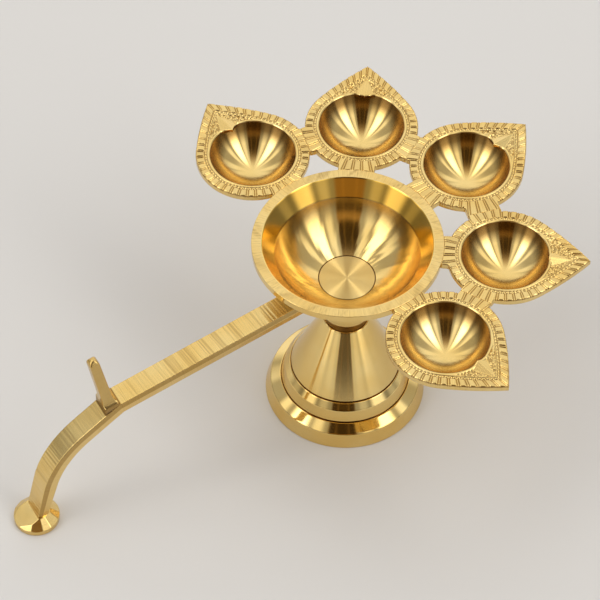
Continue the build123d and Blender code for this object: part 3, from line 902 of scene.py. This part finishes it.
def bar_rings():
    """The section carried along the path from bowl to foot, with file strokes in its top, and its shade."""
    s, place, dip, stretch, thick = bar_path()
    section = bar_section()
    along = (s[:, None] + 0.12 * section[:, 0]) / s[-1]
    strokes = 0.025 * hand_marks(along, 330, 7) + 0.012 * hand_marks(along, 90, 8)
    on_top = np.clip((section[:, 1] - 0.42) / 0.05, 0, 1)
    lift = section[:, 1] * (thick * stretch)[:, None] + strokes * on_top
    y = -(place[:, :1] + lift * np.sin(dip)[:, None])
    z = place[:, 1:] + lift * np.cos(dip)[:, None]
    x = np.broadcast_to(section[:, 0], y.shape)
    shell = bowl_outline()
    shell = shell[shell[:, 0] > stem_radius - 0.1][:50]
    first = np.argmax(np.hypot(x, y) > np.interp(z, shell[:, 1], shell[:, 0]) - 0.3, 0)
    row = np.maximum(np.arange(len(s))[:, None], first)
    rings = np.stack([x, y, z], -1)[row, np.arange(len(section))][first.min():]
    shade = np.clip(-8 * strokes, 0, 0.5) * on_top * (0.5 + 0.5 * (s < 75))[:, None]
    upper_side = (section[:, 1] < 0.47) & (section[:, 1] > 0.12)
    return rings, np.maximum(shade, 0.5 * upper_side)[first.min():]


rings, shade = bar_rings()
bar_mesh = fill_mesh("bar", rings, painted_shade_and_tone=shade)
add_piece("handle", "handle_bar", "head", [filed], bar_mesh)

# %% [markdown]
# The thumb peg is a small casting: a block as wide as the bar, bedded over its break, a flat-sided stem
# that flares into the block, and a rounded top. Its rings are superellipses, nearly square below and
# nearly round at the top.

# %% Thumb peg
peg_height, peg_lean, peg_dome, peg_shade = 27.1, np.radians(0.5), 2.6, 0.3
block_top, block_bottom = 1.3, -2.3


def peg_sizes():
    """Height of each ring, how far it reaches to the front, back, near and far side, and its power.

    The stem's sides flare out to the block by an exponential, more on the far side, and its top is a dome.
    """
    height = np.concatenate([np.linspace(1.36, 9, 40), np.linspace(9.5, peg_height - peg_dome, 24),
                             peg_height - peg_dome * np.cos(np.linspace(0.1, 1.54, 16))])
    flare, taper = np.exp((block_top - height) / 1.5), 0.010 * height
    top = np.clip((height - peg_height + peg_dome) / peg_dome, 0, 0.998)
    closing = (1 - top**2.3)**(1 / 2.3)
    stem = [height, *(sign * (least + wide * flare - taper) * closing for sign, least, wide in (
        (-1, 2.15, 0.95), (1, 2.15, 0.35), (1, 2.33, 0.65), (1, 2.33, 1.85))), 9 - 6 * top]
    block = [(block_bottom, -3.6, 3.2, 4.15, 4.15, 18), (0.0, -3.7, 2.7, 4.22, 4.22, 18),
             (0.8, -3.2, 2.5, 4.22, 4.22, 18), (1.15, -3.1, 2.45, 4.2, 4.2, 16),
             (block_top, -3.05, 2.4, 4.0, 4.15, 14)]
    return np.concatenate([block, np.stack(stem, -1)]).T[..., None]


def peg_rings(columns=112):
    """Superellipses |x/a|^n + |y/b|^n = 1 along the leaning peg, from the bar up, and their shade."""
    height, front, back, near, far, power = peg_sizes()
    turn = np.arange(columns) * 2 * np.pi / columns
    c, s = np.cos(turn), np.sin(turn)
    across = np.sign(c) * np.abs(c)**(2 / power) * np.where(c > 0, near, far)
    along = (back - front) / 2 * np.sign(s) * np.abs(s)**(2 / power)
    along = along + (front + back) / 2 - height * np.tan(peg_lean)
    y = -peg_place - along * np.cos(bar_dip) - height * np.sin(bar_dip)
    z = bar_top(peg_place) - along * np.sin(bar_dip) + height * np.cos(bar_dip)
    # Painted shade: dark on the block, and lighter over the stem and its top.
    return np.stack([across, y, z], -1), np.where(height < 1.2, 0.7, peg_shade)


rings, shade = peg_rings()
peg_mesh = fill_mesh("peg", rings, painted_shade_and_tone=shade)
add_piece("peg", "thumb_peg", "head", [filed], peg_mesh)

# %% [markdown]
# The foot under the handle is a round pad whose top was filed by hand to flat facets. Taking the lowest
# of several planes at each point is all it needs: the facets and their edges appear by themselves.

# %% Tail foot
pad_edge, pad_top_radius, pad_ahead, front_slope = 2.4, 5.4, 0.8, np.radians(25.0)


def pad_top(x, y):
    """Height of the pad's top: the lowest of the flat, the broad front facet and the small facets."""
    radius = pad_high[0]
    slope = (pad_height - pad_edge) / (radius - pad_top_radius)
    cone = pad_height - (np.hypot(x, y) - pad_top_radius) * slope
    front = pad_height + (y - pad_ahead + tail_half) * np.tan(front_slope)
    top = np.minimum(pad_height, np.minimum(cone, front))
    random = np.random.default_rng(11)
    for way in np.radians(np.arange(-81, 82, 27)):
        for side in (1, -1):
            turn, cut = way + random.uniform(-0.09, 0.09), random.uniform(0.25, 0.55)
            distance = side * x * np.cos(turn) + y * np.sin(turn)
            top = np.minimum(top, pad_height - (distance - pad_top_radius + cut) * slope)
    return top


def pad_rings(columns=240):
    """Rings from the middle of the underside, round the edge and over the filed top."""
    turn = np.arange(columns) * 2 * np.pi / columns
    under, side = np.array([0.3, 0.5, 0.9, 0.97]), np.array([0.99, 1.0, 1.0, 1.0])
    spread = np.concatenate([under, side, np.linspace(0.995, 0.02, 70)])[:, None] * pad_high[0]
    x, y = spread * np.cos(turn), spread * np.sin(turn)
    height = pad_top(x, y)
    rim = height[len(under) + 1].copy()
    height[:len(under)] = 0
    height[len(under):len(under) + 4] = [0 * turn + 0.05, 0 * turn + 0.3, rim - 0.4, rim - 0.15]
    height[len(under) + 4] -= 0.03
    middle = (pad_low + pad_high) / 2
    return np.stack([x, y + middle[1], height], -1)


pad_mesh = fill_mesh("pad", pad_rings())
add_piece("foot", "tail_foot", "head", [filed], pad_mesh)

# %% [markdown]
# The camera stands high on the lamp's right with a long lens, as for a picture in a catalogue.

# %% Camera
camera_place = np.array([607.9, -350.9, 912.8])
camera_turn, camera_rise, camera_roll = np.radians((61.41, 50.84, 0.16))
camera_lens, sensor_width = 180.0, 36.0


def place_camera():
    """A camera whose back, right and up directions come from its turn, its rise and a small roll."""
    right = np.array([np.cos(camera_turn), np.sin(camera_turn), 0.0])
    level = np.array([np.sin(camera_turn), -np.cos(camera_turn), 0.0])
    back = level * np.cos(camera_rise) + np.array([0.0, 0.0, np.sin(camera_rise)])
    up = np.cross(back, right)
    c, s = np.cos(camera_roll), np.sin(camera_roll)
    axes = np.stack([c * right + s * up, c * up - s * right, back], -1)
    camera = bpy.data.objects.new("camera", bpy.data.cameras.new("camera"))
    camera.data.sensor_width, camera.data.lens = sensor_width, camera_lens
    camera.data.clip_end = 20.0
    matrix = np.eye(4)
    matrix[:3, :3], matrix[:3, 3] = axes, camera_place * mm
    camera.matrix_world = Matrix(matrix.tolist())
    bpy.context.scene.collection.objects.link(camera)
    bpy.context.scene.camera = camera
    return back, right


camera_back, camera_right = place_camera()
print("camera at", camera_place, "mm")

# %% [markdown]
# Polished metal is a picture of its room. Long bars of light lean back over the lamp from both sides, so
# that every turned cup shows them as rays from its middle. The wall behind is bright, the side walls are
# dim, and a dark warm slit stands in front, on the camera's side. The world gives that room by direction
# alone, so it costs no geometry.

# %% Lights of the room
light_bars = (
    # middle of the bar as an angle round the cup, half width, softness and strength
    (20, 4, 2.5, 0.7), (36, 7, 3, 2.9), (54, 4, 2.5, 0.8), (88, 8, 4, 0.7))
wall_low, wall_high, back_light, table_glow = 0.28, 0.48, 1.06, 0.45
slit_half_width, slit_light, stripe_light, patch_light, room_turn = 11.0, 0.05, 0.08, 0.4, 1.5
floor_tone, warm_tone, white = (0.715, 0.686, 0.645, 1.0), (1.0, 0.6, 0.22, 1.0), (1.0, 1.0, 1.0, 1.0)


def slope(tree, angle, start, end, low=0.0, high=1.0):
    """A smooth step of an angle from low at start to high at end, both in degrees."""
    return put(tree, "ShaderNodeMapRange", {
        "Value": angle, "From Min": np.radians(start), "From Max": np.radians(end), "To Min": low,
        "To Max": high}, interpolation_type="SMOOTHSTEP").outputs[0]


def span(tree, angle, low, high, edge):
    """One inside a span of angles in degrees, fading to zero over its soft edges."""
    return calculate(tree, "MULTIPLY", slope(tree, angle, low - edge, low + edge),
                     slope(tree, angle, high + edge, high - edge))


def mixed(tree, share, first, second, kind="FLOAT"):
    """A value or a colour between two others."""
    node = put(tree, "ShaderNodeMix", {"Factor": share, "A": first, "B": second}, data_type=kind)
    return node.outputs["Result"]


# %% Directions in the room
def room_angles(tree):
    """Rise of a way, and the turn and tilt of the surface that would mirror it to the camera.

    That surface faces halfway between the way and the direction of the camera, so both are added up.
    """
    way = put(tree, "ShaderNodeTexCoord").outputs["Generated"]
    front = camera_back * [1, 1, 0]
    reach = np.linalg.norm(front)
    ahead, aside = (
        put(tree, "ShaderNodeVectorMath", {0: way, 1: axis}, operation="DOT_PRODUCT").outputs["Value"]
        for axis in (front / reach, camera_right))
    up = put(tree, "ShaderNodeSeparateXYZ", {0: way}).outputs["Z"]
    ahead = calculate(tree, "ADD", ahead, reach)
    turn = calculate(tree, "ADD", calculate(tree, "ARCTAN2", aside, ahead), np.radians(room_turn))
    flat = calculate(tree, "MULTIPLY_ADD", aside, aside, calculate(tree, "POWER", ahead, 2.0))
    lean = calculate(tree, "ADD", up, camera_back[2])
    tilt = calculate(tree, "ARCTAN2", calculate(tree, "SQRT", flat), lean)
    return calculate(tree, "ARCSINE", up), calculate(tree, "ABSOLUTE", turn), tilt


def light_in_slit(tree, turn, rise):
    """Light inside the dark slit: two thin stripes and a warm patch."""
    inside = calculate(tree, "MULTIPLY_ADD", span(tree, turn, 4.2, 5.8, 0.5), stripe_light, slit_light)
    return calculate(tree, "MULTIPLY_ADD", span(tree, rise, 23, 36, 2), patch_light, inside)


def light_on_walls(tree, turn, rise, tilt):
    """Light of the walls, which grows with the rise, the bars on them and the glow of the table."""
    light = slope(tree, rise, 8, 32, wall_low, wall_high)
    light = calculate(tree, "ADD", light, slope(tree, rise, 4, -3, 0.0, table_glow))
    for middle, half_width, edge, strength in light_bars:
        bar = span(tree, turn, middle - half_width, middle + half_width, edge)
        power = slope(tree, rise, 10, 42, 0.3 * strength, strength)
        light = calculate(tree, "MULTIPLY_ADD", bar, power, light)
    return mixed(tree, slope(tree, tilt, 28, 5), light, back_light)


# %% Room
def make_room():
    """The room's light by direction. Below its horizon lies the tone of the floor."""
    world = bpy.data.worlds.new("studio")
    bpy.context.scene.world = world
    world.use_nodes = True
    tree = world.node_tree
    rise, turn, tilt = room_angles(tree)
    beside = slope(tree, turn, slit_half_width - 1.2, slit_half_width + 1.2)
    opened = calculate(tree, "MAXIMUM", beside, slope(tree, tilt, 32, 4))
    light = mixed(tree, opened, light_in_slit(tree, turn, rise), light_on_walls(tree, turn, rise, tilt))
    light = mixed(tree, slope(tree, turn, 94, 112), light, back_light)
    tint = mixed(tree, opened, warm_tone, white, "RGBA")
    paint = put(tree, "ShaderNodeVectorMath", {0: tint, "Scale": light}, operation="SCALE").outputs[0]
    paint = mixed(tree, slope(tree, rise, -7, -9), paint, floor_tone, "RGBA")
    tree.links.new(paint, tree.nodes["Background"].inputs["Color"])
    return world


print("room:", make_room().name)

# %% Floor
floor_albedo, floor_drop = (0.71, 0.69, 0.66, 1.0), 0.05


def make_floor(radius=340, middle=(-90, 50), sides=128):
    """A round pale floor under the lamp. Past its edge the room shows the same tone."""
    turn = np.arange(sides) * 2 * np.pi / sides
    ring = np.stack([middle[0] + radius * np.cos(turn), middle[1] + radius * np.sin(turn), 0 * turn], -1)
    mesh = bpy.data.meshes.new("floor")
    mesh.from_pydata((ring * mm).tolist(), [], [tuple(range(sides))])
    floor = bpy.data.objects.new("floor", mesh)
    floor.location.z = -floor_drop * mm
    bpy.context.scene.collection.objects.link(floor)
    material = bpy.data.materials.new("pale floor")
    material.use_nodes = True
    shader = material.node_tree.nodes["Principled BSDF"]
    shader.inputs["Base Color"].default_value = floor_albedo
    shader.inputs["Roughness"].default_value = 0.9
    shader.inputs["Specular IOR Level"].default_value = 0.0
    mesh.materials.append(material)
    return floor


print("under the lamp:", make_floor().name)
bpy.context.scene.view_settings.view_transform = "Standard"
